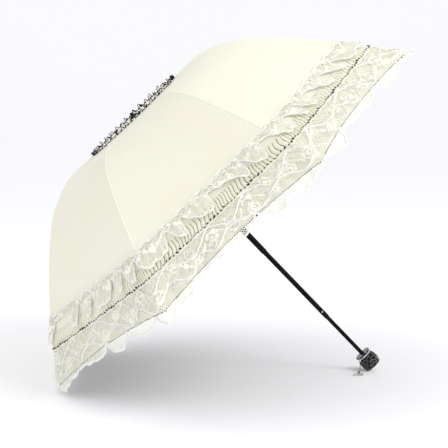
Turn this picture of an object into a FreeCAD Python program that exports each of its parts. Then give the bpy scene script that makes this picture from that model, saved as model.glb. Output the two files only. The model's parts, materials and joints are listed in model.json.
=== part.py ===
import FreeCAD, Part
import math
import os

# Folding lace parasol, open, lying on two rib tips and its handle.
# It is modelled upright about its shaft (+Z towards the ferrule, rim plane at
# Z = 0) and laid down at the end by one tilt about Y. Millimetres and degrees.

# ---- driving dimensions ----------------------------------------------------
RIBS = 8
TIP_RADIUS = 430.0            # shaft axis to a rib tip
CROWN_HEIGHT = 231.0          # rim plane to the flat crown of the canopy
CROWN_FLAT = 138.5            # flat part of the crown, at the middle of a gore
SHOULDER_RADIUS = 142.0       # bend between crown and skirt
SHOULDER_TURN = 41.0          # slope where the shoulder ends
CROWN_HOLE = 6.6              # hole in the crown for the shaft
PANEL_SLOPES = (0.0, 12.0, 26.0, 41.0, 47.0, 53.0)   # where each strip of a gore starts
CLOTH = 0.8                   # canopy thickness
HEM_RISE = 10.0               # how far a hem curves up between two tips

SHAFT_END = -390.0            # end of the handle
HANDLE_LENGTH = 30.0
HANDLE_RADIUS = 17.5
HANDLE_FACETS = 10

# The four telescoping tubes: outer radius, wall, top and bottom.
TUBES = {
    "top_tube": (5.75, 0.45, 234.5, 45.5),
    "upper_middle_tube": (5.20, 0.70, 70.5, -102.0),
    "lower_middle_tube": (4.40, 0.70, -80.0, -267.0),
    "bottom_tube": (3.60, 0.60, -246.0, -371.0),
}
TUBE_BUTTON_Z = -253.0
TUBE_BUTTON_RADIUS = 1.6
TUBE_BUTTON_DOME = 1.75
TUBE_BUTTON_INNER = 2.9       # shaft axis to the button's inner end
TUBE_BUTTON_LENGTH = 1.9
BUTTON_PLAY = 0.06
RUNNER_SKIRT = 24.0           # runner pivots to the runner's lower end
RUNNER_NECK_RADIUS = 8.2
RUNNER_GRIP_RADIUS = 9.6
RUNNER_PLAY = 0.08
CATCH_HALF = 5.6              # half the length of the runner catch
CATCH_INNER = 5.35            # shaft axis to the back of the catch
CATCH_NOSE = 7.6              # shaft axis to its nose
CATCH_WIDTH = 1.4
NOTCH_NECK_RADIUS = 7.2
HUB_HALF_HEIGHT = 3.5         # rib pivots to a hub's lower and upper face
CAP_SPHERE = 14.0             # round cap over the crown, part of a larger sphere
CAP_SUNK = 8.5                # centre of that sphere below the cap's foot
CAP_KNOB = 3.4
CAP_KNOB_HEIGHT = 6.4

PIVOT_DEPTH = 3.2             # rib pivots below the canopy's outer face
NOTCH_PIVOT_RADIUS = 9.0
RUNNER_PIVOT_RADIUS = 12.5
RIB_WIDTH = 3.0
RIB_HEIGHT = 2.4
RIB_WALL = 0.45
TONGUE = 1.0                  # flat end of a rib, inside the next rib's fork
PIN_RADIUS = 0.70
PIN_PLAY = 0.06
WIRE_RADIUS = 0.50
FIRST_JOINT_SLOPE = 21.0      # canopy slope over the first rib joint
SECOND_JOINT_SLOPE = 48.8     # canopy slope over the second rib joint
STRUT_REACH = 70.0            # notch pivot to strut pivot, along the top rib
STRUT_LENGTH = 86.0
STRUT_FORK = 31.0
FIRST_FORK = 23.0
SECOND_FORK = 31.0
FORK_GAP = RIB_WIDTH - 2 * RIB_WALL
STRUT_FORK_GAP = RIB_WIDTH + 0.6
STRUT_FORK_WALL = 0.5
RIVET_HEAD = 0.4              # thickness of a rivet's flat head
FLAT_END = 13.0               # flat end of a rib or strut in its hub
ROD_RADIUS = 0.5              # wire beside the middle rib
ROD_OFFSET = 1.1
ROD_SETBACK = 8.0
CLIP_LENGTH = 4.0
OUTER_ROD_RADIUS = 1.0        # round end of the outer rib
OUTER_CHANNEL = 25.0
TIP_OVERHANG = 5.0            # rib tip past the hem
TIP_BALL = 1.9
TIP_SOCKET_RADIUS = 1.6
TIP_SOCKET_LENGTH = 9.0

# Trimming bands, measured along the canopy up from the hem.
LOWER_LACE = (-22.5, 58.0)
LACE_DROP = 18.5              # lower lace past the hem
RIBBON = (58.0, 82.0)
UPPER_LACE = (82.0, 114.0)
TRIM_GAP = 0.3
TRIM_THICKNESS = 1.5
CROWN_LACE_RADIUS = 96.0
CROWN_LACE_WIDTH = 5.0
CROWN_LACE_HEIGHT = 9.0

TIP_CLEARANCE = 14.0          # lowest rib tips above the floor: the lace under them carries

# Charm on a cord. Its route starts under its eyelet: sideways, towards the
# front, and height over the floor.
CORD_DIAMETER = 1.2
CORD_DROP = [(0.0, 0.0, 19.0), (0.0, -0.6, 12.5), (-0.6, -2.6, 6.5), (-1.9, -7.2, 2.7),
             (-4.2, -13.6, 2.2), (-6.2, -20.2, 2.3), (-7.2, -26.4, 2.2)]
EYELET_RADIUS = 1.3
EYELET_LENGTH = 4.0
BEAD_RADIUS = 2.1
BEAD_SHARES = (0.25, 0.85)    # where the beads sit on their run of the cord
BOW_CENTRE = 5.0
BOW_THICKNESS = 2.4
BOW_KNOT_RADIUS = 2.2
BOW_KNOT_HEIGHT = 3.2

HALF_GORE = 180.0 / RIBS
APOTHEM = math.cos(math.radians(HALF_GORE))


def vec(x, y, z):
    return FreeCAD.Vector(x, y, z)


ORIGIN = vec(0, 0, 0)
X_AXIS = vec(1, 0, 0)
Y_AXIS = vec(0, 1, 0)
Z_AXIS = vec(0, 0, 1)


# ---- canopy outline in the plane through the middle of a gore ----------------
def sine(angle):
    return math.sin(math.radians(angle))


def cosine(angle):
    return math.cos(math.radians(angle))


HEM_RADIUS = TIP_RADIUS * APOTHEM
SHOULDER_CENTRE = (CROWN_FLAT, CROWN_HEIGHT - SHOULDER_RADIUS)
SKIRT_START = (SHOULDER_CENTRE[0] + SHOULDER_RADIUS * sine(SHOULDER_TURN),
               SHOULDER_CENTRE[1] + SHOULDER_RADIUS * cosine(SHOULDER_TURN))
SKIRT_CHORD = math.hypot(HEM_RADIUS - SKIRT_START[0], SKIRT_START[1])
SKIRT_HALF_TURN = math.degrees(math.atan2(SKIRT_START[1], HEM_RADIUS - SKIRT_START[0])) - SHOULDER_TURN
SKIRT_RADIUS = SKIRT_CHORD / (2 * sine(SKIRT_HALF_TURN))
SKIRT_CENTRE = (SKIRT_START[0] - SKIRT_RADIUS * sine(SHOULDER_TURN),
                SKIRT_START[1] - SKIRT_RADIUS * cosine(SHOULDER_TURN))
HEM_SLOPE = SHOULDER_TURN + 2 * SKIRT_HALF_TURN


def outline(slope, offset=0.0):
    """Point (radius, height) where the gore has this slope, offset outwards."""
    if slope <= SHOULDER_TURN:
        centre, radius = SHOULDER_CENTRE, SHOULDER_RADIUS
    else:
        centre, radius = SKIRT_CENTRE, SKIRT_RADIUS
    reach = radius + offset
    return (centre[0] + reach * sine(slope), centre[1] + reach * cosine(slope))


def slope_above_hem(distance):
    """Slope of the skirt at this distance up from the hem."""
    return HEM_SLOPE - math.degrees(distance / SKIRT_RADIUS)


def ridge(slope, depth):
    """Point (radius, height) under the canopy along a rib."""
    radius, height = outline(slope, -depth)
    return (radius / APOTHEM, height)


def flat_point(point):
    return vec(point[0], 0, point[1])


def outline_arc(first, last, offset):
    middle = (first + last) / 2
    ends = [flat_point(outline(slope, offset)) for slope in (first, middle, last)]
    return Part.Arc(*ends).toShape()


def outline_edges(first, last, offset):
    """Arcs of the outline between two slopes, in order."""
    if first < SHOULDER_TURN < last:
        return [outline_arc(first, SHOULDER_TURN, offset),
                outline_arc(SHOULDER_TURN, last, offset)]
    return [outline_arc(first, last, offset)]


def strip(first, last, low, high, crown_radius=None):
    """Closed outline strip between two offsets, as a face in the XZ plane."""
    edges = outline_edges(first, last, high)
    if crown_radius is not None:
        inner = vec(crown_radius, 0, CROWN_HEIGHT + high)
        edges.insert(0, Part.LineSegment(inner, edges[0].firstVertex().Point).toShape())
    under = outline_edges(first, last, low)
    if crown_radius is not None:
        inner = vec(crown_radius, 0, CROWN_HEIGHT + low)
        under.insert(0, Part.LineSegment(inner, under[0].firstVertex().Point).toShape())
    start = Part.LineSegment(edges[0].firstVertex().Point, under[0].firstVertex().Point)
    end = Part.LineSegment(edges[-1].lastVertex().Point, under[-1].lastVertex().Point)
    wire = Part.Wire(Part.__sortEdges__(edges + [end.toShape()] + under + [start.toShape()]))
    return Part.Face(wire)


def gore(first, last, low, high, hem_drop, crown_radius=None):
    """One eighth of a band round the canopy, lying along +X."""
    span = TIP_RADIUS + 60
    band = strip(first, last, low, high, crown_radius)
    band.translate(vec(0, -span / 2, 0))
    band = band.extrude(vec(0, span, 0))
    half = span * math.tan(math.radians(HALF_GORE))
    corners = [ORIGIN, vec(span, -half, 0), vec(span, half, 0), ORIGIN]
    wedge = Part.Face(Part.makePolygon(corners)).extrude(vec(0, 0, 600))
    wedge.translate(vec(0, 0, -200))
    band = band.common(wedge)
    if hem_drop is not None:
        half_hem = TIP_RADIUS * sine(HALF_GORE)
        sweep = half_hem ** 2 / (2 * HEM_RISE) + HEM_RISE / 2
        centre = vec(100, 0, HEM_RISE - sweep - hem_drop)
        band = band.cut(Part.makeCylinder(sweep, span, centre, X_AXIS))
    return band.Solids[0]


def around(shape, start_angle):
    """Eight copies round the shaft, the first at this azimuth."""
    copies = []
    for index in range(RIBS):
        copy = shape.copy()
        copy.rotate(ORIGIN, Z_AXIS, start_angle + index * 2 * HALF_GORE)
        copies.append(copy)
    return copies


FIRST_GORE = -90.0
FIRST_RIB = FIRST_GORE - HALF_GORE


def canopy():
    """Eight gores, each a row of strips from the shaft to the hem."""
    ends = PANEL_SLOPES[1:] + (HEM_SLOPE,)
    copies = []
    for start, end in zip(PANEL_SLOPES, ends):
        hole = CROWN_HOLE if start == 0 else None
        hem = 0.0 if end == HEM_SLOPE else None
        copies.extend(around(gore(start, end, -CLOTH, 0, hem, hole), FIRST_GORE))
    return Part.Compound(copies)


def trim_band(limits, hem_drop=None):
    low, high = limits
    first, last = slope_above_hem(high), slope_above_hem(low)
    band = gore(first, last, TRIM_GAP, TRIM_GAP + TRIM_THICKNESS, hem_drop)
    return Part.Compound(around(band, FIRST_GORE))


def crown_lace():
    outer = Part.makeCylinder(CROWN_LACE_RADIUS + CROWN_LACE_WIDTH, CROWN_LACE_HEIGHT)
    inner = Part.makeCylinder(CROWN_LACE_RADIUS, CROWN_LACE_HEIGHT)
    ring = outer.cut(inner)
    ring.translate(vec(0, 0, CROWN_HEIGHT + TRIM_GAP))
    return ring


# ---- rib pivots in the radial plane of one rib -------------------------------
NOTCH_PIVOT = (NOTCH_PIVOT_RADIUS, CROWN_HEIGHT - 4.2)
FIRST_JOINT = ridge(FIRST_JOINT_SLOPE, PIVOT_DEPTH)
SECOND_JOINT = ridge(SECOND_JOINT_SLOPE, PIVOT_DEPTH)
RIB_END = ridge(HEM_SLOPE, PIVOT_DEPTH - 0.3)


def reach(start, end):
    return math.hypot(end[0] - start[0], end[1] - start[1])


def slope_between(start, end):
    """Downward slope of the line from start to end."""
    return math.degrees(math.atan2(start[1] - end[1], end[0] - start[0]))


TOP_RIB_LENGTH = reach(NOTCH_PIVOT, FIRST_JOINT)
TOP_RIB_SLOPE = slope_between(NOTCH_PIVOT, FIRST_JOINT)
MIDDLE_RIB_LENGTH = reach(FIRST_JOINT, SECOND_JOINT)
MIDDLE_RIB_SLOPE = slope_between(FIRST_JOINT, SECOND_JOINT)
OUTER_RIB_LENGTH = reach(SECOND_JOINT, RIB_END)
OUTER_RIB_SLOPE = slope_between(SECOND_JOINT, RIB_END)
STRUT_PIVOT = (NOTCH_PIVOT[0] + STRUT_REACH * cosine(TOP_RIB_SLOPE),
               NOTCH_PIVOT[1] - STRUT_REACH * sine(TOP_RIB_SLOPE))
STRUT_RUN = STRUT_PIVOT[0] - RUNNER_PIVOT_RADIUS
RUNNER_PIVOT = (RUNNER_PIVOT_RADIUS,
                STRUT_PIVOT[1] - math.sqrt(STRUT_LENGTH ** 2 - STRUT_RUN ** 2))
STRUT_SLOPE = slope_between(RUNNER_PIVOT, STRUT_PIVOT)

RUNNER_CATCH_Z = RUNNER_PIVOT[1] - RUNNER_SKIRT - CATCH_HALF - 0.4


# ---- rib sections, each built from its own pivot along +X ----------------------
def plate(start, end, thickness, side=0.0, height=RIB_HEIGHT):
    """Flat bar along X, centred at a sideways distance from the rib's plane."""
    corner = vec(start, side - thickness / 2, -height / 2)
    return Part.makeBox(end - start, thickness, height, corner)


def channel(start, end):
    """U-section bar with its open side down."""
    hollow_width = RIB_WIDTH - 2 * RIB_WALL
    body = plate(start, end, RIB_WIDTH)
    hollow = Part.makeBox(end - start, hollow_width, RIB_HEIGHT - RIB_WALL,
                          vec(start, -hollow_width / 2, -RIB_HEIGHT / 2))
    return body.cut(hollow)


def fork(start, end, gap, thickness):
    """Two parallel cheeks with a gap between them."""
    side = (gap + thickness) / 2
    return [plate(start, end, thickness, side), plate(start, end, thickness, -side)]


def cross_pin(x, radius, length):
    return Part.makeCylinder(radius, length, vec(x, -length / 2, 0), Y_AXIS)


def eye(x, thickness):
    """Rounded end of a flat bar, round its pivot."""
    return cross_pin(x, RIB_HEIGHT / 2, thickness)


def joined(solids):
    shape = solids[0].multiFuse(solids[1:]).removeSplitter()
    return shape.Solids[0]


def drilled(shape, x, radius):
    return shape.cut(cross_pin(x, radius, 20)).Solids[0]


def rivet(x, gap):
    """Pin through a fork with a flat head on each side."""
    half = gap / 2 + RIB_WALL
    head_radius = PIN_RADIUS * 1.9
    shank = cross_pin(x, PIN_RADIUS, 2 * half)
    head = Part.makeCylinder(head_radius, RIVET_HEAD, vec(x, half, 0), Y_AXIS)
    other = Part.makeCylinder(head_radius, RIVET_HEAD, vec(x, -half - RIVET_HEAD, 0), Y_AXIS)
    return joined([shank, head, other])


def top_rib():
    length = TOP_RIB_LENGTH
    bar = joined([eye(0, TONGUE), plate(0, FLAT_END, TONGUE), channel(FLAT_END - 5, length - FIRST_FORK),
                  plate(length - FIRST_FORK - 4, length, TONGUE), eye(length, TONGUE)])
    bar = drilled(bar, 0, WIRE_RADIUS + PIN_PLAY)
    return [drilled(bar, length, PIN_RADIUS + PIN_PLAY)]


def forked_rib(length, fork_length):
    """Fork over the rib before it, then a channel."""
    cheeks = fork(0, fork_length + 3, FORK_GAP, RIB_WALL)
    side = (FORK_GAP + RIB_WALL) / 2
    ends = []
    for y in (side, -side):
        ends.append(Part.makeCylinder(RIB_HEIGHT / 2, RIB_WALL, vec(0, y - RIB_WALL / 2, 0), Y_AXIS))
    return joined(cheeks + ends + [channel(fork_length, length)])


def control_rod(length):
    """Thin wire beside the middle rib that turns the outer rib."""
    side = RIB_WIDTH / 2 + ROD_OFFSET
    start, end = ROD_SETBACK, length - ROD_SETBACK
    rod = Part.makeCylinder(ROD_RADIUS, end - start, vec(start, side, 0), X_AXIS)
    clips = []
    for x in (start + 12, length / 2, end - 12):
        clips.append(Part.makeBox(CLIP_LENGTH, ROD_OFFSET + ROD_RADIUS, 1.6, vec(x, RIB_WIDTH / 2, -0.8)))
    return joined([rod] + clips)


def middle_rib():
    length = MIDDLE_RIB_LENGTH
    bar = forked_rib(length - SECOND_FORK, FIRST_FORK)
    tongue = plate(length - SECOND_FORK - 4, length, TONGUE)
    bar = joined([bar, tongue, eye(length, TONGUE)])
    bar = drilled(bar, length, PIN_RADIUS + PIN_PLAY)
    bar = drilled(bar, 0, PIN_RADIUS)
    return [bar, rivet(0, FORK_GAP), control_rod(length)]


def outer_rib():
    length = OUTER_RIB_LENGTH
    bar = forked_rib(SECOND_FORK + OUTER_CHANNEL, SECOND_FORK)
    rod_start = SECOND_FORK + OUTER_CHANNEL - 10
    rod = Part.makeCylinder(OUTER_ROD_RADIUS, length - rod_start, vec(rod_start, 0, 0), X_AXIS)
    bar = drilled(joined([bar, rod]), 0, PIN_RADIUS)
    ball = Part.makeSphere(TIP_BALL, vec(length + TIP_OVERHANG - TIP_BALL, 0, 0))
    socket_start = vec(length - TIP_SOCKET_LENGTH - 1, 0, 0)
    socket = Part.makeCylinder(TIP_SOCKET_RADIUS, TIP_SOCKET_LENGTH, socket_start, X_AXIS)
    cap = joined([socket, ball]).cut(Part.makeCylinder(OUTER_ROD_RADIUS, length, ORIGIN, X_AXIS))
    return [bar, rivet(0, FORK_GAP), cap.Solids[0]]


def strut():
    fork_start = STRUT_LENGTH - STRUT_FORK
    half = STRUT_FORK_GAP / 2 + STRUT_FORK_WALL
    bridge = plate(fork_start - 4, fork_start, 2 * half)
    cheeks = fork(fork_start - 4, STRUT_LENGTH + 1.5, STRUT_FORK_GAP, STRUT_FORK_WALL)
    bar = joined([eye(0, TONGUE), plate(0, FLAT_END, TONGUE), channel(FLAT_END - 5, fork_start - 2),
                  bridge] + cheeks)
    bar = drilled(bar, 0, WIRE_RADIUS + PIN_PLAY)
    studs = []
    for y in (half, -half - RIVET_HEAD):
        studs.append(Part.makeCylinder(RIB_HEIGHT / 2, RIVET_HEAD, vec(STRUT_LENGTH, y, 0), Y_AXIS))
    return [bar] + studs


def in_place(solids, pivot, slope):
    """Move rib solids from their own axes to a pivot in the radial plane."""
    placed = Part.Compound(solids)
    placed.rotate(ORIGIN, Y_AXIS, slope)
    placed.translate(flat_point(pivot))
    return placed


# ---- hub parts ---------------------------------------------------------------
def disc(radius, low, high):
    return Part.makeCylinder(radius, high - low, vec(0, 0, low))


def slots(width, inner, outer, low, high):
    """Radial slots for the flat ends of the ribs."""
    box = Part.makeBox(outer - inner, width, high - low, vec(inner, -width / 2, low))
    return around(box, FIRST_RIB)


def hub(solid, pivot, tube_radius):
    """Cut the bore, the rib slots and the groove of the wire that pins the ribs."""
    radius, height = pivot
    solid = solid.cut(disc(tube_radius, height - 60, height + 60))
    for slot in slots(TONGUE + 0.5, radius - 1.8, radius + 20, height - 8, height + 8):
        solid = solid.cut(slot)
    groove = Part.makeTorus(radius, WIRE_RADIUS + 0.05, vec(0, 0, height))
    return solid.cut(groove).Solids[0]


def top_notch():
    height = NOTCH_PIVOT[1]
    body = disc(NOTCH_PIVOT_RADIUS + 3.0, height - HUB_HALF_HEIGHT, height + 2.6)
    body = body.fuse(disc(NOTCH_NECK_RADIUS, height - 12, height + 2.6)).removeSplitter()
    return hub(body, NOTCH_PIVOT, TUBES["top_tube"][0])


def hub_wire(pivot):
    return Part.makeTorus(pivot[0], WIRE_RADIUS, vec(0, 0, pivot[1]))


def runner():
    height = RUNNER_PIVOT[1]
    head = disc(RUNNER_PIVOT_RADIUS + 2.4, height - HUB_HALF_HEIGHT, height + HUB_HALF_HEIGHT)
    bottom = height - RUNNER_SKIRT
    neck = disc(RUNNER_NECK_RADIUS, bottom + 5, height + 6)
    grip = Part.makeCone(RUNNER_GRIP_RADIUS, RUNNER_NECK_RADIUS, 4, vec(0, 0, bottom + 1))
    lip = disc(RUNNER_GRIP_RADIUS, bottom, bottom + 1)
    body = head.multiFuse([neck, grip, lip]).removeSplitter()
    return hub(body, RUNNER_PIVOT, TUBES["top_tube"][0] + RUNNER_PLAY)


def ferrule_cap():
    """Round cap that closes the top of the shaft over the canopy."""
    low = CROWN_HEIGHT + 0.3
    dome = Part.makeSphere(CAP_SPHERE, vec(0, 0, low - CAP_SUNK)).common(disc(CAP_SPHERE, low, low + 12))
    knob = Part.makeSphere(CAP_KNOB, vec(0, 0, low + CAP_KNOB_HEIGHT))
    cap = dome.fuse(knob).removeSplitter()
    return cap.cut(disc(TUBES["top_tube"][0] + 0.02, low - 5, TUBES["top_tube"][2] + 0.1)).Solids[0]


# ---- shaft -------------------------------------------------------------------
def tube(name):
    radius, wall, top, bottom = TUBES[name]
    return disc(radius, bottom, top).cut(disc(radius - wall, bottom, top))


def top_tube():
    radius = TUBES["top_tube"][0]
    width, length = CATCH_WIDTH + 0.6, 2 * CATCH_HALF + 1.6
    window = Part.makeBox(radius, width, length, vec(3, -width / 2, RUNNER_CATCH_Z - length / 2))
    window.rotate(ORIGIN, Z_AXIS, FIRST_GORE)
    return tube("top_tube").cut(window).Solids[0]


def runner_catch():
    """Sprung leaf in the tube's wall whose nose holds the raised runner."""
    top, bottom = RUNNER_CATCH_Z + CATCH_HALF, RUNNER_CATCH_Z - CATCH_HALF
    corners = [vec(CATCH_INNER, 0, top), vec(CATCH_NOSE, 0, top - 0.4), vec(CATCH_NOSE, 0, top - 2.0),
               vec(CATCH_INNER + 0.6, 0, bottom), vec(CATCH_INNER, 0, bottom), vec(CATCH_INNER, 0, top)]
    leaf = Part.Face(Part.makePolygon(corners)).extrude(vec(0, CATCH_WIDTH, 0))
    leaf.translate(vec(0, -CATCH_WIDTH / 2, 0))
    leaf.rotate(ORIGIN, Z_AXIS, FIRST_GORE)
    return leaf


def button_hole(radius):
    centre = vec(0, 0, TUBE_BUTTON_Z)
    return Part.makeCylinder(TUBE_BUTTON_RADIUS + BUTTON_PLAY, radius + 2, centre, vec(0, -1, 0))


def tube_with_hole(name):
    return tube(name).cut(button_hole(TUBES[name][0])).Solids[0]


def tube_button():
    """Domed spring button that locks the last tube."""
    outwards = vec(0, -1, 0)
    foot = vec(0, -TUBE_BUTTON_INNER, TUBE_BUTTON_Z)
    shank = Part.makeCylinder(TUBE_BUTTON_RADIUS, TUBE_BUTTON_LENGTH, foot, outwards)
    dome = Part.makeSphere(TUBE_BUTTON_DOME, foot + outwards * 1.2)
    cutter = Part.makeCylinder(TUBE_BUTTON_RADIUS, 3, foot + outwards * 1.1, outwards)
    return shank.fuse(dome.common(cutter)).removeSplitter().Solids[0]


# ---- handle ------------------------------------------------------------------
HANDLE_TOP = SHAFT_END + HANDLE_LENGTH
HANDLE_RINGS = [(13.6, HANDLE_TOP - 5.0), (HANDLE_RADIUS, HANDLE_TOP - 12.5),
                (HANDLE_RADIUS, HANDLE_TOP - 21.5), (15.4, SHAFT_END)]
HANDLE_REST = -HANDLE_RINGS[-1][0] * cosine(180.0 / HANDLE_FACETS)


def facet_ring(radius, height, turn):
    step = 360.0 / HANDLE_FACETS
    points = []
    for index in range(HANDLE_FACETS):
        angle = (index + turn) * step
        points.append(vec(radius * cosine(angle), radius * sine(angle), height))
    return points


def face_of(points):
    return Part.Face(Part.makePolygon(points + [points[0]]))


def handle_knob():
    """Knob cut like a gem: rings of corners, each half a step from the last."""
    rings = []
    for level, (radius, height) in enumerate(HANDLE_RINGS):
        turn = 0.5 * (level % 2)
        rings.append(facet_ring(radius, height, turn))
    faces = [face_of(rings[0]), face_of(rings[-1])]
    for level in range(len(rings) - 1):
        upper, lower = rings[level], rings[level + 1]
        shift = level % 2
        for index in range(HANDLE_FACETS):
            after = (index + 1) % HANDLE_FACETS
            facing = (index + shift) % HANDLE_FACETS
            before = (facing - 1) % HANDLE_FACETS
            faces.append(face_of([upper[index], lower[before], lower[facing]]))
            faces.append(face_of([upper[index], lower[facing], upper[after]]))
    knob = Part.Solid(Part.Shell(faces))
    bore = disc(TUBES["bottom_tube"][0], TUBES["bottom_tube"][3], HANDLE_TOP + 1)
    return knob.cut(bore).Solids[0]


def handle_collar():
    low = HANDLE_TOP - 5.0
    collar = Part.makeCone(13.4, 15.2, 2.2, vec(0, 0, low + 1.6))
    lip = disc(15.2, low + 3.8, HANDLE_TOP)
    body = collar.fuse(lip).removeSplitter()
    return body.cut(disc(TUBES["bottom_tube"][0], low, HANDLE_TOP)).Solids[0]


def handle_ring():
    low = HANDLE_TOP - 5.0
    return disc(13.9, low, low + 1.6).cut(disc(TUBES["bottom_tube"][0], low, low + 1.6))


# ---- laying the parasol down -------------------------------------------------
# It lies on the lower lace under two rib tips and on the rim of the handle.
REST_REACH = TIP_OVERHANG + TIP_CLEARANCE
TIP_REST = (RIB_END[0] + REST_REACH * cosine(OUTER_RIB_SLOPE),
            RIB_END[1] - REST_REACH * sine(OUTER_RIB_SLOPE))
TILT = math.degrees(math.atan2(TIP_REST[1] - SHAFT_END, TIP_REST[0] * APOTHEM + HANDLE_REST))


def laid(shape):
    """Tilt a shape so that the floor is level."""
    placed = shape.copy()
    placed.rotate(ORIGIN, Y_AXIS, -TILT)
    return placed


def laid_point(point):
    return laid(Part.Vertex(point)).Point


FLOOR = laid_point(vec(HANDLE_REST, 0, SHAFT_END)).z


def above_floor(shape):
    """Trim under the floor is left out: there the cloth lies flat."""
    space = Part.makeBox(2000, 2000, 2000, vec(-1000, -1000, FLOOR - 2000))
    solids = []
    for solid in shape.Solids:
        solids.extend(solid.cut(space).Solids)
    return Part.Compound(solids)


# ---- charm on a cord, lying beside the handle ---------------------------------
EYELET = vec(-13.0, -11.5, HANDLE_TOP - 6.0)


def cord_points():
    eyelet = laid_point(EYELET)
    points = []
    for x, y, height in CORD_DROP:
        points.append(vec(eyelet.x + x, eyelet.y + y, FLOOR + height))
    return points


def cord_edges(points):
    """Straight runs joined by tangent arcs, as large as the runs allow."""
    edges = []
    start = points[0]
    for before, corner, after in zip(points, points[1:], points[2:]):
        back = before.sub(corner)
        onward = after.sub(corner)
        shorter = min(back.Length, onward.Length)
        half_turn = (math.pi - back.getAngle(onward)) / 2
        setback = 0.45 * shorter
        radius = setback / math.tan(half_turn)
        back.normalize()
        onward.normalize()
        first = corner.add(back * setback)
        last = corner.add(onward * setback)
        bisector = back.add(onward).normalize()
        depth = radius / math.cos(half_turn) - radius
        middle = corner.add(bisector * depth)
        edges.append(Part.LineSegment(start, first).toShape())
        edges.append(Part.Arc(first, middle, last).toShape())
        start = last
    edges.append(Part.LineSegment(start, points[-1]).toShape())
    return edges


def cord_tube():
    points = cord_points()
    path = Part.Wire(cord_edges(points))
    circle = Part.Circle(points[0], points[1].sub(points[0]), CORD_DIAMETER / 2).toShape()
    return path.makePipeShell([Part.Wire(circle)], True, True)


def charm_eyelet():
    """Short sleeve on the handle that the cord comes out of."""
    points = cord_points()
    upward = points[0].sub(points[1]).normalize()
    return Part.makeCylinder(EYELET_RADIUS, EYELET_LENGTH, points[0], upward)


def charm_beads(cord):
    points = cord_points()
    beads = []
    for share in BEAD_SHARES:
        centre = points[4] * (1 - share) + points[5] * share
        beads.append(Part.makeSphere(BEAD_RADIUS, centre).cut(cord).Solids[0])
    return Part.Compound(beads)


def bow_loop(side):
    """One flat loop of the bow, a drop that widens away from the knot."""
    narrow, wide = 1.0, 3.6
    near, far, tip = side * 0.8, side * 6.4, side * 8.8
    low = -BOW_THICKNESS / 2
    corners = [vec(BOW_CENTRE - narrow, near, low), vec(BOW_CENTRE - wide, far, low),
               vec(BOW_CENTRE + wide, far, low), vec(BOW_CENTRE + narrow, near, low)]
    rounded = Part.Arc(corners[1], vec(BOW_CENTRE, tip, low), corners[2]).toShape()
    sides = [Part.LineSegment(corners[0], corners[1]).toShape(), rounded,
             Part.LineSegment(corners[2], corners[3]).toShape(),
             Part.LineSegment(corners[3], corners[0]).toShape()]
    return Part.Face(Part.Wire(sides)).extrude(vec(0, 0, BOW_THICKNESS))


def charm_bow():
    """Plain bow pendant, lying flat at the end of the cord."""
    points = cord_points()
    onward = points[-1].sub(points[-2])
    cap = Part.makeCylinder(1.2, 3.6, ORIGIN, X_AXIS)
    knot_foot = vec(BOW_CENTRE, 0, -BOW_KNOT_HEIGHT / 2)
    knot = Part.makeCylinder(BOW_KNOT_RADIUS, BOW_KNOT_HEIGHT, knot_foot, Z_AXIS)
    bow = joined([cap, knot, bow_loop(1), bow_loop(-1)])
    bow.rotate(ORIGIN, Z_AXIS, math.degrees(math.atan2(onward.y, onward.x)))
    bow.translate(points[-1])
    return bow


# ---- all nodes ---------------------------------------------------------------
def rib_nodes():
    """Four links for each rib: top, strut, middle and outer."""
    links = {
        "top_rib": in_place(top_rib(), NOTCH_PIVOT, TOP_RIB_SLOPE),
        "strut": in_place(strut(), RUNNER_PIVOT, STRUT_SLOPE),
        "middle_rib": in_place(middle_rib(), FIRST_JOINT, MIDDLE_RIB_SLOPE),
        "outer_rib": in_place(outer_rib(), SECOND_JOINT, OUTER_RIB_SLOPE),
    }
    nodes = {}
    for name, link in links.items():
        for index, copy in enumerate(around(link, FIRST_RIB)):
            nodes[f"{name}_{index + 1}"] = copy
    return nodes


def upright_nodes():
    nodes = {
        "top_tube": top_tube(),
        "upper_middle_tube": tube("upper_middle_tube"),
        "lower_middle_tube": tube_with_hole("lower_middle_tube"),
        "bottom_tube": tube_with_hole("bottom_tube"),
        "tube_button": tube_button(),
        "ferrule_cap": ferrule_cap(),
        "top_notch": top_notch(),
        "notch_wire": hub_wire(NOTCH_PIVOT),
        "runner": runner(),
        "runner_wire": hub_wire(RUNNER_PIVOT),
        "runner_catch": runner_catch(),
        "canopy": canopy(),
        "upper_lace": trim_band(UPPER_LACE),
        "ribbon": trim_band(RIBBON),
        "lower_lace": trim_band(LOWER_LACE, hem_drop=LACE_DROP),
        "crown_lace": crown_lace(),
        "handle_knob": handle_knob(),
        "handle_ring": handle_ring(),
        "handle_collar": handle_collar(),
    }
    nodes.update(rib_nodes())
    return nodes


def laid_nodes():
    nodes = {name: laid(shape) for name, shape in upright_nodes().items()}
    nodes["lower_lace"] = above_floor(nodes["lower_lace"])
    nodes["charm_eyelet"] = charm_eyelet()
    nodes["charm_cord"] = cord_tube()
    nodes["charm_beads"] = charm_beads(nodes["charm_cord"])
    nodes["charm_bow"] = charm_bow()
    return nodes


NODES = laid_nodes()
BOX = Part.Compound(list(NODES.values())).optimalBoundingBox(False, False)
SHIFT = vec(-BOX.Center.x, -BOX.Center.y, -FLOOR)

os.makedirs("parts", exist_ok=True)
for node_name, node_shape in NODES.items():
    node_shape.translate(SHIFT)
    node_shape.exportStep(f"parts/{node_name}.step")
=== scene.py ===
import json
import math

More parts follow.
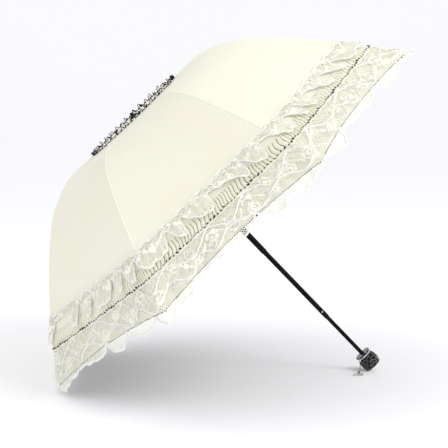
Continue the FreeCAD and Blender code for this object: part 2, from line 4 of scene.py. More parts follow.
import bpy
import numpy as np
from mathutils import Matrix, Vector

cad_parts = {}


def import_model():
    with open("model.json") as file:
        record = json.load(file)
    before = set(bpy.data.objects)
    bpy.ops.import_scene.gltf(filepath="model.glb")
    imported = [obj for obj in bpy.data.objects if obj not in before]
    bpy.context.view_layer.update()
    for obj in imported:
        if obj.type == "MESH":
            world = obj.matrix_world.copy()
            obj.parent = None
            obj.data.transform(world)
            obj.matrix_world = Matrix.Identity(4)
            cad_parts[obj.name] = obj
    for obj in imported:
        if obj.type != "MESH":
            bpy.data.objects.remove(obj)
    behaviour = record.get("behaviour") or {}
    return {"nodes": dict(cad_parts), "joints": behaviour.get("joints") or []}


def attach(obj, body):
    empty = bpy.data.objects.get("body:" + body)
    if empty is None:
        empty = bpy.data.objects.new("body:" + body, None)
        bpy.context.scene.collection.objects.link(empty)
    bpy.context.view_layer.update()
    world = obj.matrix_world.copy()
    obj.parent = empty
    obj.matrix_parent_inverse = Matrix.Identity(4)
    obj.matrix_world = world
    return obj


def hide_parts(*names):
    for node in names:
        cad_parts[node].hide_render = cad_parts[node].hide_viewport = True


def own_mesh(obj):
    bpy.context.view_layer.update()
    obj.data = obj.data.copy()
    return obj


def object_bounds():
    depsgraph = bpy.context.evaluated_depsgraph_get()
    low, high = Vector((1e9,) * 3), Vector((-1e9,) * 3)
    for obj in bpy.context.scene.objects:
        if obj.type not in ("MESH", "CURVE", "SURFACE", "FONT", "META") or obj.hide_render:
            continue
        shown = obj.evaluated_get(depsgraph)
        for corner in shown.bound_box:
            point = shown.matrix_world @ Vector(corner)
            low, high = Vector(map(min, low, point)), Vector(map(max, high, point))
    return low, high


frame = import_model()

# Lace parasol, open and lying on its rim and handle. Everything soft is built in
# the parasol's own frame: q goes round the canopy in gores (a whole number is a
# rib), s runs along the cloth from the shaft to the hem. Metres and radians.

CAD_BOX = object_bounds()

# ---- driving dimensions, as in the CAD model -------------------------------------
RIBS = 8
TIP_RADIUS = 0.430
CROWN_HEIGHT = 0.231
CROWN_FLAT = 0.1385
CROWN_HOLE = 0.0066
SHOULDER_RADIUS = 0.142
SHOULDER_TURN = math.radians(41.0)
HEM_RISE = 0.010
CLOTH = 0.0008
NOTCH_DEPTH = 0.0042            # rib pivots of the top notch below the crown
FIRST_JOINT_SLOPE = math.radians(21.0)
SECOND_JOINT_SLOPE = math.radians(48.8)
CROWN_LACE_RADIUS = 0.0985

HALF_GORE = math.pi / RIBS
SPREAD = math.tan(HALF_GORE)
HEM_RADIUS = TIP_RADIUS * math.cos(HALF_GORE)
FIRST_RIB = -math.pi / 2 - HALF_GORE
GORE_WIDTH = 0.318              # taken along the trims for the spacing of pleats and stitches
GOLDEN_TURN = 2.399963          # steps of this angle never repeat

# ---- the parasol's frame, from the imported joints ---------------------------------
JOINTS = {joint["name"]: joint for joint in frame["joints"]}


def pivot(name):
    return np.array(JOINTS[name]["pos_m"], float)


UP = -np.array(JOINTS["runner_slide"]["axis"], float)
ACROSS = np.array([0.0, 1.0, 0.0])
SIDE = np.cross(ACROSS, UP)
HUB = sum(pivot(f"top_rib_{k + 1}_hinge") for k in range(RIBS)) / RIBS
RIM_CENTRE = HUB - UP * (CROWN_HEIGHT - NOTCH_DEPTH)


def world(x, y, z):
    """Points of the parasol's own frame, in the row frame."""
    x, y, z = np.broadcast_arrays(x, y, z)
    return RIM_CENTRE + x[..., None] * SIDE + y[..., None] * ACROSS + z[..., None] * UP


# ---- outline of the canopy in the middle of a gore --------------------------------
SHOULDER_CENTRE = (CROWN_FLAT, CROWN_HEIGHT - SHOULDER_RADIUS)
SKIRT_TOP = (SHOULDER_CENTRE[0] + SHOULDER_RADIUS * math.sin(SHOULDER_TURN),
             SHOULDER_CENTRE[1] + SHOULDER_RADIUS * math.cos(SHOULDER_TURN))
SKIRT_RUN = HEM_RADIUS - SKIRT_TOP[0]
SKIRT_HALF_TURN = math.atan2(SKIRT_TOP[1], SKIRT_RUN) - SHOULDER_TURN
SKIRT_RADIUS = math.hypot(SKIRT_RUN, SKIRT_TOP[1]) / (2 * math.sin(SKIRT_HALF_TURN))
SKIRT_CENTRE = (SKIRT_TOP[0] - SKIRT_RADIUS * math.sin(SHOULDER_TURN),
                SKIRT_TOP[1] - SKIRT_RADIUS * math.cos(SHOULDER_TURN))
HEM_SLOPE = SHOULDER_TURN + 2 * SKIRT_HALF_TURN
SHOULDER_END = CROWN_FLAT + SHOULDER_RADIUS * SHOULDER_TURN
HEM = SHOULDER_END + SKIRT_RADIUS * 2 * SKIRT_HALF_TURN
FIRST_FOLD = CROWN_FLAT + SHOULDER_RADIUS * FIRST_JOINT_SLOPE
SECOND_FOLD = SHOULDER_END + SKIRT_RADIUS * (SECOND_JOINT_SLOPE - SHOULDER_TURN)


def outline(s):
    """Radius, height and slope of the gore at this distance from the shaft."""
    shoulder = np.clip((s - CROWN_FLAT) / SHOULDER_RADIUS, 0, SHOULDER_TURN)
    slope = shoulder + np.maximum(s - SHOULDER_END, 0) / SKIRT_RADIUS
    on_skirt = s > SHOULDER_END
    centre = np.where(on_skirt, SKIRT_CENTRE[0], SHOULDER_CENTRE[0])
    base = np.where(on_skirt, SKIRT_CENTRE[1], SHOULDER_CENTRE[1])
    bend = np.where(on_skirt, SKIRT_RADIUS, SHOULDER_RADIUS)
    radius = np.where(s < CROWN_FLAT, s, centre + bend * np.sin(slope))
    return radius, base + bend * np.cos(slope), slope


def smooth(x):
    x = np.clip(x, 0, 1)
    return x * x * (3 - 2 * x)


def rim_drop(q):
    """How far past the rim line the hem would hang; it curves up between tips."""
    t = 2 * (q - np.floor(q)) - 1
    return -HEM_RISE / math.sin(HEM_SLOPE) * (1 - t * t)


def surface(q, s, lift):
    """Points over the canopy, lifted off the taut cloth."""
    q, s, lift = np.broadcast_arrays(np.asarray(q, float), s, lift)
    gore = np.floor(q)
    t = 2 * (q - gore) - 1
    radius, height, slope = outline(s)
    middle = -math.pi / 2 + 2 * HALF_GORE * gore
    lean = middle + np.sign(t) * HALF_GORE * smooth((np.abs(t) - 0.82) / 0.18)
    side = t * radius * SPREAD
    x = radius * np.cos(middle) - side * np.sin(middle)
    y = radius * np.sin(middle) + side * np.cos(middle)
    x = x + lift * np.sin(slope) * np.cos(lean)
    y = y + lift * np.sin(slope) * np.sin(lean)
    return world(x, y, height + lift * np.cos(slope))


# ---- cloth of the gores ---------------------------------------------------------
SAG = 0.0035                    # how far the cloth dips between two ribs
SEAM_WIDTH = 0.0009
SEAM_HEIGHT = 0.0006
PUCKER = 0.00035


def cloth_lift(q, s):
    """Dip between the ribs, raised seams and the small puckers beside them."""
    t = 2 * (q - np.floor(q)) - 1
    radius = outline(s)[0]
    from_rib = (1 - np.abs(t)) * radius * SPREAD
    dip = -SAG * (1 - t * t) * smooth((s - 0.03) / 0.2)
    seam = SEAM_HEIGHT * np.exp(-(from_rib / SEAM_WIDTH) ** 2)
    groove = -0.5 * SEAM_HEIGHT * np.exp(-((from_rib - 3 * SEAM_WIDTH) / SEAM_WIDTH) ** 2)
    pucker = PUCKER * np.sin(s * 2 * math.pi / 0.013) * np.exp(-(from_rib / 0.010) ** 2)
    pull = 0.0006 * np.sin(s * 2 * math.pi / 0.11 + 5 * t) * smooth((s - 0.35) / 0.1) * (1 - t * t)
    return dip + seam + groove + pucker * np.minimum(1, from_rib / 0.002) + pull


def turn_at(q):
    """Angle round the canopy, from the first rib."""
    return 2 * math.pi * q / RIBS


def wave(q, count, seed):
    """Irregular wave round the rim that closes on itself."""
    turn = turn_at(q)
    wobble = 1.3 * np.sin(3 * turn + seed) + 0.9 * np.sin(7 * turn + 2.3 * seed)
    wobble = wobble + 0.6 * np.sin(13 * turn + 4.1 * seed)
    return np.sin(count * turn + wobble + seed)


# ---- materials -----------------------------------------------------------------
def material(name, colour, rough, metal=0.0, sheen=0.0, coat=0.0, shine=0.5):
    """A plain material, its node tree and its shader."""
    made = bpy.data.materials.new(name)
    made.use_nodes = True
    shader = made.node_tree.nodes["Principled BSDF"]
    shader.inputs["Base Color"].default_value = (*colour, 1)
    shader.inputs["Roughness"].default_value = rough
    shader.inputs["Metallic"].default_value = metal
    shader.inputs["Sheen Weight"].default_value = sheen
    shader.inputs["Coat Weight"].default_value = coat
    shader.inputs["Specular IOR Level"].default_value = shine
    return made, made.node_tree, shader


def mottle(tree, shader, dark, light, scale, detail=4.0):
    """Colour that drifts between two tones."""
    place = tree.nodes.new("ShaderNodeTexCoord")
    noise = tree.nodes.new("ShaderNodeTexNoise")
    noise.inputs["Scale"].default_value = scale
    noise.inputs["Detail"].default_value = detail
    ramp = tree.nodes.new("ShaderNodeValToRGB")
    ramp.color_ramp.elements[0].position = 0.3
    ramp.color_ramp.elements[0].color = (*dark, 1)
    ramp.color_ramp.elements[1].position = 0.7
    ramp.color_ramp.elements[1].color = (*light, 1)
    tree.links.new(place.outputs["Object"], noise.inputs["Vector"])
    tree.links.new(noise.outputs["Fac"], ramp.inputs["Fac"])
    tree.links.new(ramp.outputs["Color"], shader.inputs["Base Color"])
    return noise


def weave(tree, shader, pitch, depth):
    """Plain weave: two crossed sets of fine ridges."""
    place = tree.nodes.new("ShaderNodeTexCoord")
    total = tree.nodes.new("ShaderNodeMath")
    total.operation = "MAXIMUM"
    for index, direction in enumerate(("X", "Z")):
        threads = tree.nodes.new("ShaderNodeTexWave")
        threads.bands_direction = direction
        threads.inputs["Scale"].default_value = 1 / pitch
        threads.inputs["Distortion"].default_value = 0.4
        tree.links.new(place.outputs["Object"], threads.inputs["Vector"])
        tree.links.new(threads.outputs["Fac"], total.inputs[index])
    bump = tree.nodes.new("ShaderNodeBump")
    bump.inputs["Strength"].default_value = depth
    bump.inputs["Distance"].default_value = 0.0002
    tree.links.new(total.outputs["Value"], bump.inputs["Height"])
    tree.links.new(bump.outputs["Normal"], shader.inputs["Normal"])


def grain(tree, shader, scale, depth, rough_low, rough_high):
    """Fine surface grain, in height and in gloss."""
    place = tree.nodes.new("ShaderNodeTexCoord")
    noise = tree.nodes.new("ShaderNodeTexNoise")
    noise.inputs["Scale"].default_value = scale
    noise.inputs["Detail"].default_value = 6.0
    spread = tree.nodes.new("ShaderNodeMapRange")
    spread.inputs["To Min"].default_value = rough_low
    spread.inputs["To Max"].default_value = rough_high
    bump = tree.nodes.new("ShaderNodeBump")
    bump.inputs["Strength"].default_value = depth
    bump.inputs["Distance"].default_value = 0.0001
    tree.links.new(place.outputs["Object"], noise.inputs["Vector"])
    tree.links.new(noise.outputs["Fac"], spread.inputs["Value"])
    tree.links.new(spread.outputs["Result"], shader.inputs["Roughness"])
    tree.links.new(noise.outputs["Fac"], bump.inputs["Height"])
    tree.links.new(bump.outputs["Normal"], shader.inputs["Normal"])


def cloth_material(name, dark, light, rough, sheen, pitch, depth, shine=0.3, drift=6.0):
    """Woven cloth or thread; drift is how finely its colour varies."""
    made, tree, shader = material(name, light, rough, sheen=sheen, shine=shine)
    mottle(tree, shader, dark, light, drift)
    weave(tree, shader, pitch, depth)
    return made


def hard_material(name, dark, light, scale, depth, rough, metal=0.0, coat=0.0, shine=0.5):
    """Metal, enamel or plastic with a fine grain; rough is its lowest and highest roughness."""
    made, tree, shader = material(name, light, rough[1], metal, coat=coat, shine=shine)
    mottle(tree, shader, dark, light, scale)
    grain(tree, shader, scale * 8, depth, *rough)
    return made


PANEL_WIDTH = 2 * HEM_RADIUS * SPREAD      # hem of one gore

# Each has a dark and a light tone, roughness, sheen, weave pitch and weave depth.
CREAM = cloth_material("canopy_cream", (0.865, 0.838, 0.69), (0.888, 0.866, 0.735),
                       0.75, 0.25, 0.0011, 0.25)
LINING = cloth_material("canopy_black_coating", (0.012, 0.012, 0.013), (0.022, 0.022, 0.024),
                        0.6, 0.0, 0.0011, 0.3)
LACE = cloth_material("lace_ivory", (0.93, 0.92, 0.73), (0.99, 0.988, 0.93),
                      0.8, 0.3, 0.0006, 0.3, drift=170.0)
# Olive-grey for thin lines laid through the lace: painted shadow of its threads, not thread of its
# own.
THREAD_SHADOW_PAINT = cloth_material("lace_painted_thread_shadow", (0.54, 0.52, 0.34), (0.82, 0.80, 0.62),
                               0.8, 0.0, 0.0006, 0.3)
LACE_CORD = cloth_material("lace_cord_white", (0.95, 0.95, 0.92), (0.985, 0.985, 0.97),
                           0.6, 0.2, 0.0008, 0.4, drift=60.0)
RIBBON = cloth_material("ribbon_satin", (0.78, 0.76, 0.60), (0.88, 0.86, 0.72),
                        0.45, 0.4, 0.0008, 0.2)
# Dark olive for the faces along the ribbon's creases: painted crease shade.
CREASE_SHADE_PAINT = cloth_material("ribbon_painted_crease_shade", (0.16, 0.15, 0.10), (0.34, 0.33, 0.24),
                        0.8, 0.0, 0.0008, 0.2)
# Black thread of the stitches and the hem piping; on the ribbon it also draws the dark lines of
# painted crease shade.
BLACK_THREAD_AND_CREASE_SHADE = cloth_material("black_thread_and_crease_shade", (0.004, 0.004, 0.005), (0.012, 0.012, 0.013),
                              0.8, 0.0, 0.0006, 0.5, shine=0.1)
BLACK_LACE = cloth_material("lace_black", (0.003, 0.003, 0.004), (0.010, 0.010, 0.012),
                            0.8, 0.0, 0.0006, 0.4, shine=0.1)


# ---- mesh helpers ----------------------------------------------------------------
def new_piece(name, points, faces, materials, face_material=None, normals=None):
    """Mesh object from arrays; normals, where given, are one for each point."""
    mesh = bpy.data.meshes.new(name)
    mesh.from_pydata(points.tolist(), [], faces)
    for made in materials:
        mesh.materials.append(made)
    if face_material is not None:
        mesh.polygons.foreach_set("material_index", face_material)
    mesh.polygons.foreach_set("use_smooth", np.ones(len(faces), bool))
    mesh.update()
    if normals is not None:
        mesh.normals_split_custom_set_from_vertices(normals.tolist())
    piece = bpy.data.objects.new(name, mesh)
    bpy.context.scene.collection.objects.link(piece)
    return piece


def grid_faces(rows, columns, first=0, flip=False):
    """Quads of a grid of points, row by row."""
    faces = []
    for row in range(rows - 1):
        for column in range(columns - 1):
            a = first + row * columns + column
            quad = [a, a + 1, a + columns + 1, a + columns]
            faces.append(quad[::-1] if flip else quad)
    return faces


def tube(points, outward, radius, sides=5):
    """Round cord along points; outward is the cloth's normal at each of them."""
    along = np.gradient(points, axis=0)
    along /= np.linalg.norm(along, axis=1)[:, None]
    across = np.cross(along, outward)
    across /= np.linalg.norm(across, axis=1)[:, None]
    rise = np.cross(across, along)
    rings = []
    for index in range(sides):
        angle = 2 * math.pi * index / sides
        rings.append(points + radius * (math.cos(angle) * across + math.sin(angle) * rise))
    cloud = np.stack(rings, axis=1).reshape(-1, 3)
    faces = []
    for row in range(len(points) - 1):
        for index in range(sides):
            a = row * sides + index
            b = row * sides + (index + 1) % sides
            faces.append([a, b, b + sides, a + sides])
    return cloud, faces


# ---- the sixteen half gores and the ribs they hang on --------------------------------
def half_gores():
    """Name, rib number, first q, last q and direction away from the rib."""
    halves = []
    for index in range(2 * RIBS):
        gore, second = divmod(index, 2)
        rib = (gore + second) % RIBS + 1
        middle = -math.pi / 2 + 2 * HALF_GORE * gore
        away = world(-math.sin(middle), math.cos(middle), 0.0) - RIM_CENTRE
        if second:
            halves.append((f"{rib}a", rib, gore + 0.5, gore + 1.0, -away))
        else:
            halves.append((f"{rib}b", rib, gore + 0.0, gore + 0.5, away))
    return halves


HALVES = half_gores()


def rib_ends(link, rib):
    """Both ends of a link of this rib."""
    if link == "top_rib":
        return pivot(f"top_rib_{rib}_hinge"), pivot(f"middle_rib_{rib}_hinge")
    if link == "middle_rib":
        return pivot(f"middle_rib_{rib}_hinge"), pivot(f"outer_rib_{rib}_hinge")
    return pivot(f"outer_rib_{rib}_hinge"), surface(rib - 1.0, HEM, -0.003)


def hang(piece, link, rib, node):
    """The piece rides on a link, and the CAD node it stands for is hidden."""
    start, end = rib_ends(link, rib)
    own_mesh(piece)
    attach(piece, f"{link}_{rib}")
    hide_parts(node)


def cell_area(points, faces):
    """Area of quads, in square metres."""
    corners = points[np.array(faces)]
    first = np.cross(corners[:, 1] - corners[:, 0], corners[:, 2] - corners[:, 0])
    second = np.cross(corners[:, 2] - corners[:, 0], corners[:, 3] - corners[:, 0])
    return float((np.linalg.norm(first, axis=1) + np.linalg.norm(second, axis=1)).sum() / 2)


def unit_normals(function, q, s, inward):
    """Normals of a surface function, taken from inside the half gore."""
    step = 1e-4
    here = function(q, s)
    round_it = (function(q + inward * step, s) - here) * inward
    down_it = function(q, s + step) - here
    normals = np.cross(down_it, round_it)
    return normals / np.linalg.norm(normals, axis=-1)[..., None]


# ---- canopy ------------------------------------------------------------------------
# Columns of a half gore, from the rib to the middle: close together at the seam.
NEAR_RIB = np.array([0, 0.006, 0.012, 0.02, 0.032, 0.05, 0.08, 0.13, 0.2, 0.3, 0.42, 0.56,
                     0.7, 0.85, 1.0])
# Name, link it hangs on, first and last s, and rows of points.
SECTIONS = (("top", "top_rib", CROWN_HOLE, FIRST_FOLD, 40),
            ("middle", "middle_rib", FIRST_FOLD, SECOND_FOLD, 34),
            ("outer", "outer_rib", SECOND_FOLD, HEM, 36))
HEM_EDGE = 0.0012               # width of the black hem line


def canopy_section(label, link, first, last, rows, half):
    """Closed thin shell over one link: the piece, what it rests on, its cut and its area."""
    name, rib, q_first, q_last, away = half
    at_rib = q_first if name.endswith("b") else q_last
    inward = 1 if name.endswith("b") else -1
    q = at_rib + inward * 0.5 * NEAR_RIB
    q = np.clip(q, q_first + 1e-9, q_last - 1e-9)[None, :]
    share = np.linspace(0, 1, rows)[:, None]
    end = last + (rim_drop(q) if link == "outer_rib" else 0.0)
    s = first + (end - first) * share + 0.0 * q
    if link == "outer_rib":
        s[-2] = s[-1] - HEM_EDGE
    q = np.broadcast_to(q, s.shape)

    def outside(q, s):
        return surface(q, s, cloth_lift(q, s))

    normals = unit_normals(outside, q, s, inward)
    outer = outside(q, s)
    inner = outer - CLOTH * 0.6 * normals
    rows, columns = s.shape
    count = rows * columns
    backwards = inward > 0
    skin = grid_faces(rows, columns, 0, backwards)
    lining = grid_faces(rows, columns, count, not backwards)
    border = [(0, c) for c in range(columns)] + [(r, columns - 1) for r in range(1, rows)]
    border += [(rows - 1, c) for c in range(columns - 2, -1, -1)]
    border += [(r, 0) for r in range(rows - 2, 0, -1)]
    rim = []
    for (row, column), (row_after, column_after) in zip(border, border[1:] + border[:1]):
        a, b = row * columns + column, row_after * columns + column_after
        quad = [a, b, b + count, a + count]
        rim.append(quad if backwards else quad[::-1])
    faces = skin + lining + rim
    last_row = (rows - 2) * (columns - 1)
    hem_faces = [int(link == "outer_rib" and index >= last_row) for index in range(len(skin))]
    kinds = hem_faces + [1] * (len(lining) + len(rim))
    points = np.concatenate([outer.reshape(-1, 3), inner.reshape(-1, 3)])
    point_normals = np.concatenate([normals.reshape(-1, 3), -normals.reshape(-1, 3)])
    piece = new_piece(f"canopy_{label}_{name}", points, faces, [CREAM, LINING], kinds,
                      point_normals)
    hang(piece, link, rib, "canopy")
    wide = float(np.linalg.norm(outer[-1, -1] - outer[-1, 0]))
    long = float(np.linalg.norm(np.diff(outer[:, 0], axis=0), axis=1).sum())
    return piece, f"{link}_{rib}", (wide, long), min(cell_area(points, skin), wide * long)


for half_gore in HALVES:
    for section in SECTIONS:
        cloth = canopy_section(*section, half_gore)


# ---- lace net: a honeycomb of threads with solid motifs -------------------------------
CELL_HEIGHT = 0.0037 * 0.866
CROWN_CELL_HEIGHT = 0.00195
NET_TURN = RIBS * 89            # cells once round the canopy
SMALLEST_HOLE = 0.12            # cells with less of an opening are solid
LARGEST_HOLE = 0.9
KEY = 4096                      # more than the corners of a net that stand in a column
HEX_CORNERS = ((0, 2), (1, 1), (1, -1), (0, -2), (-1, -1), (-1, 1))


def net(name, place, rows, cell_height, inside, opening, q_first, q_last, made, turn=NET_TURN):
    """Net of one half gore. Row 0 is its upper edge; v grows towards its lower edge.

    place(q, v) gives points, inside(q, v) keeps cells, opening(q, v) is the size of
    a cell's hole from 0 to 1. Returns the piece.
    """
    first = math.ceil(q_first * turn / RIBS)
    last = math.ceil(q_last * turn / RIBS)
    row, column = np.meshgrid(np.arange(rows), np.arange(first, last), indexing="ij")
    x = (2 * column + row % 2).ravel()
    y = (3 * row + 2).ravel()

    def q_of(x):
        return x * RIBS / (2 * turn)

    def v_of(y):
        return y * cell_height / 3

    kept = inside(q_of(x), v_of(y))
    x, y = x[kept], y[kept]
    holes = np.clip(opening(q_of(x), v_of(y)), 0, LARGEST_HOLE)
    corner_x = np.stack([x + dx for dx, dy in HEX_CORNERS], axis=1)
    corner_y = np.stack([y - dy for dx, dy in HEX_CORNERS], axis=1)
    keys = corner_x * KEY + corner_y
    unique, index = np.unique(keys.ravel(), return_inverse=True)
    index = index.reshape(keys.shape)
    corners = np.stack([unique // KEY, unique % KEY], axis=1).astype(float)
    open_cells = np.flatnonzero(holes > SMALLEST_HOLE)
    middle_x, middle_y, share = x[open_cells, None], y[open_cells, None], holes[open_cells, None]
    inner_x = middle_x + (corner_x[open_cells] - middle_x) * share
    inner_y = middle_y + (corner_y[open_cells] - middle_y) * share
    flat_x = np.concatenate([corners[:, 0], inner_x.ravel()])
    flat_y = np.concatenate([corners[:, 1], inner_y.ravel()])
    points = place(q_of(flat_x), v_of(flat_y))
    faces = [face[::-1] for face in index[holes <= SMALLEST_HOLE].tolist()]
    base = len(corners)
    for order, cell in enumerate(open_cells):
        ring = index[cell]
        start = base + 6 * order
        for side in range(6):
            after = (side + 1) % 6
            faces.append([int(ring[after]), int(ring[side]), start + side, start + after])
    return new_piece(name, points, faces, [made])


def cut_width(place, q_first, q_last, v):
    """Length along a ruffle, at one height of it."""
    line = place(np.linspace(q_first, q_last, 200), np.full(200, v))
    return float(np.linalg.norm(np.diff(line, axis=0), axis=1).sum())


def join_tubes(name, tubes, made, shaded=(), shade=None):
    """One piece from several cords, the lines of painted shadow in a second material."""
    clouds, faces, kinds, count = [], [], [], 0
    for order, (cloud, quads) in enumerate([*tubes, *shaded]):
        clouds.append(cloud)
        faces.extend([[corner + count for corner in quad] for quad in quads])
        kinds.extend([int(order >= len(tubes))] * len(quads))
        count += len(cloud)
    materials = [made] if shade is None else [made, shade]
    return new_piece(name, np.concatenate(clouds), faces, materials, kinds)


def painted_thread_shadows(place, q_first, q_last, lines):
    """Thin olive lines that wander through the lace: painted shadow of its threads."""
    q = np.linspace(q_first, q_last, 260)
    threads = []
    for height, swing, count, seed in lines:
        v = height + swing * wave(q, count, seed)
        threads.append(cord_on(place, q, v, THREAD_SHADOW_RADIUS, 4))
    return threads


def cord_on(place, q, v, radius, sides=5):
    """Cord of this radius, sewn along a line of the trim."""
    step = 1e-4
    points = place(q, v)
    outward = np.cross(place(q, v + step) - points, place(q + step, v) - points)
    outward /= np.linalg.norm(outward, axis=1)[:, None]
    return tube(points + outward * radius * 0.7, outward, radius, sides)


# ---- floor under the lace -----------------------------------------------------------
FLOOR_GAP = 0.0012


def on_floor(points, q):
    """Cloth that would hang under the floor lies on it in small folds."""
    points = points.copy()
    under = np.maximum(FLOOR_GAP + 0.003 - points[..., 2], 0)
    spread = 0.35 * under
    points[..., 0] -= spread
    fold = 0.0011 * (1 + np.sin(q * 31.0 + points[..., 1] * 260.0)) * np.minimum(under / 0.004, 1)
    lying = FLOOR_GAP + 0.003 * np.exp(-under / 0.003) + fold
    points[..., 2] = np.where(under > 0, lying, points[..., 2])
    return points


# ---- trims of the skirt, measured up from the hem --------------------------------------
UPPER_LACE_TOP = HEM - 0.114
RIBBON_TOP = HEM - 0.082
LOWER_LACE_TOP = HEM - 0.058
LACE_LIFT = 0.0012
UPPER_LACE_MIDDLE = 0.026       # where its length is measured
LOWER_LACE_MIDDLE = 0.050
THREAD_SHADOW_RADIUS = 0.00028                # radii of the painted shadow lines and the cords
THIN_CORD = 0.0007
ROSE_CORD = 0.0008
LACE_EDGE_CORD = 0.0011
LOBE_EDGE_CORD = 0.0014
CROWN_EDGE_CORD = 0.0005
PIPING = 0.0010
UPPER_ROSES = (0.034, 9, 0.0095)    # height of their band, roses in a gore, their size
LOWER_ROSES = (0.062, 8, 0.0125)
LOWER_ROSE_CORDS = (0.062, 8, 0.0115)
# Height, swing, count and seed of each line of painted shadow.
UPPER_THREAD_SHADOWS = ((0.0060, 0.0028, 150, 0.4), (0.0125, 0.0026, 190, 1.7))
LOWER_THREAD_SHADOWS = ((0.0090, 0.0050, 140, 0.9), (0.0230, 0.0060, 170, 2.2), (0.0400, 0.0070, 150, 3.1))


def upper_edge(q):
    """Wavy, corded upper edge of the upper lace."""
    return 0.0020 + 0.0014 * wave(q, 56, 0.7)


def tooth_phase(q):
    """Whole numbers are the steep sides of the upper lace's folds."""
    turn = turn_at(q)
    wobble = 0.22 * np.sin(5 * turn + 1) + 0.20 * np.sin(17 * turn + 2) + 0.10 * np.sin(31 * turn)
    return 44 * turn / (2 * math.pi) + wobble


def fold_shape(q):
    """Rises slowly along a fold of the upper lace and drops steeply at its end."""
    part = tooth_phase(q) - np.floor(tooth_phase(q))
    return smooth(part / 0.7) * (1 - smooth((part - 0.86) / 0.14))


def upper_points(q):
    """Lower edge of the upper lace: folds that leave triangles of the ribbon bare."""
    return 0.0150 + 0.0320 * fold_shape(q) + 0.0010 * wave(q, 130, 2.0)


def upper_place(q, v):
    s = UPPER_LACE_TOP + v
    fold = 0.0052 * fold_shape(q) * smooth(v / 0.030)
    ripple = 0.0007 * (1 + wave(q, 170, 1.1)) * smooth(v / 0.010)
    flare = 0.0016 * smooth((v - 0.026) / 0.010)
    return surface(q, s, LACE_LIFT + fold + ripple + flare + cloth_lift(q, s) * 0.8)


def lobe_phase(q):
    """Whole numbers are where the lower lace draws back to the hem."""
    turn = turn_at(q)
    return 30 * turn / (2 * math.pi) + 0.26 * np.sin(7 * turn + 2) + 0.16 * np.sin(19 * turn + 1)


def lobe_shape(q):
    return np.abs(np.sin(math.pi * lobe_phase(q))) ** 0.7


def lower_edge(q):
    """Lower edge of the lower lace: uneven lobes, wavy along their rims."""
    deep = 0.82 + 0.18 * wave(q, 9, 1.7)
    return 0.0585 + 0.0225 * lobe_shape(q) * deep + 0.0012 * wave(q, 150, 0.4)


def lower_place(q, v):
    """Lower lace: gathered along its top, looser and wavier towards its edge."""
    fall = smooth(v / 0.078)
    s = LOWER_LACE_TOP + v + rim_drop(q) * fall
    loose = fall ** 0.7
    ruffle = 0.0050 * loose * (1 + 0.7 * wave(q, 42, 0.3) + 0.3 * wave(q, 118, 2.6))
    gather = 0.0006 * (1 + wave(q, 330, 0.9)) * np.exp(-v / 0.014)
    lift = LACE_LIFT + gather + ruffle + cloth_lift(q, np.minimum(s, HEM)) * 0.8
    points = surface(q, s + 0.0022 * loose * wave(q, 42, 2.1), lift)
    return on_floor(points, q)


def petals(dx, dy, size, count=5):
    """True inside a small flower."""
    angle = np.arctan2(dy, dx)
    return np.hypot(dx, dy) < size * (0.62 + 0.38 * np.cos(count * angle))


def motif(q, v, height, count, size):
    """Hole size of the lace: swirled roses, leaves and a vine on an open net."""
    spot = q * count
    nearest = np.round(spot)
    dx = (spot - nearest) * PANEL_WIDTH / count
    dy = v - rose_height(nearest, height)
    distance = np.hypot(dx, dy) / size
    swirl = np.sin(distance * 11 + np.arctan2(dy, dx) * 1.0) > -0.15
    rose = (distance < 1) & swirl
    vine_line = height * (0.5 + 0.26 * np.cos(math.pi * spot + math.pi))
    vine = np.abs(v - vine_line) < 0.0014
    leaf = np.abs(np.sin(spot * math.pi * 3)) * 0.0040 > np.abs(v - vine_line)
    return np.where(rose | vine | leaf, 0.0, 0.68)


def rose_height(number, height):
    return height * (0.5 + 0.2 * np.sin(number * GOLDEN_TURN))


def rose_cords(place, q_first, q_last, height, count, size):
    """Raised cord of each rose: a spiral of a turn and a half."""
    cords = []
    for number in range(math.ceil(q_first * count), math.ceil(q_last * count)):
        angle = np.linspace(0.6, 3 * math.pi, 22) + number
        spread = size * np.linspace(0.28, 1.0, 22)
        q = number / count + spread * np.cos(angle) / PANEL_WIDTH
        v = rose_height(number, height) + spread * np.sin(angle)
        cords.append(cord_on(place, q, v, ROSE_CORD, 4))
    return cords


def trim(half, piece, node, sewn_on):
    name, rib, _, _, away = half
    for part in (piece, *sewn_on):
        hang(part, "outer_rib", rib, node)


def upper_lace(half):
    name, _, q_first, q_last, _ = half

    def inside(q, v):
        return (v > upper_edge(q)) & (v < upper_points(q))

    def opening(q, v):
        edge = (v < upper_edge(q) + 0.0036) | (v > upper_points(q) - 0.0030)
        return np.where(edge, 0.0, motif(q, v, *UPPER_ROSES))

    piece = net(f"upper_lace_{name}", upper_place, 15, CELL_HEIGHT, inside, opening,
                q_first, q_last, LACE)
    q = np.linspace(q_first, q_last, 170)
    cords = [cord_on(upper_place, q, upper_edge(q), LACE_EDGE_CORD),
             cord_on(upper_place, q, upper_points(q), LACE_EDGE_CORD),
             cord_on(upper_place, q, 0.010 + 0.0042 * wave(q, 66, 1.9), THIN_CORD, 4)]
    # Olive lines through the lace, in their own material: painted shadow of its threads.
    threads = painted_thread_shadows(upper_place, q_first, q_last, UPPER_THREAD_SHADOWS)
    cord = join_tubes(f"upper_lace_cord_and_painted_shadow_{name}", cords, LACE_CORD, threads, THREAD_SHADOW_PAINT)
    length = cut_width(upper_place, q_first, q_last, UPPER_LACE_MIDDLE)
    trim(half, piece, "upper_lace",
         [cord])


def festoon(q, which):
    """Corded garlands across the lower lace."""
    if which == 0:
        return 0.017 + 0.011 * wave(q, 31, 0.4)
    return 0.044 + 0.010 * wave(q, 36, 2.2)


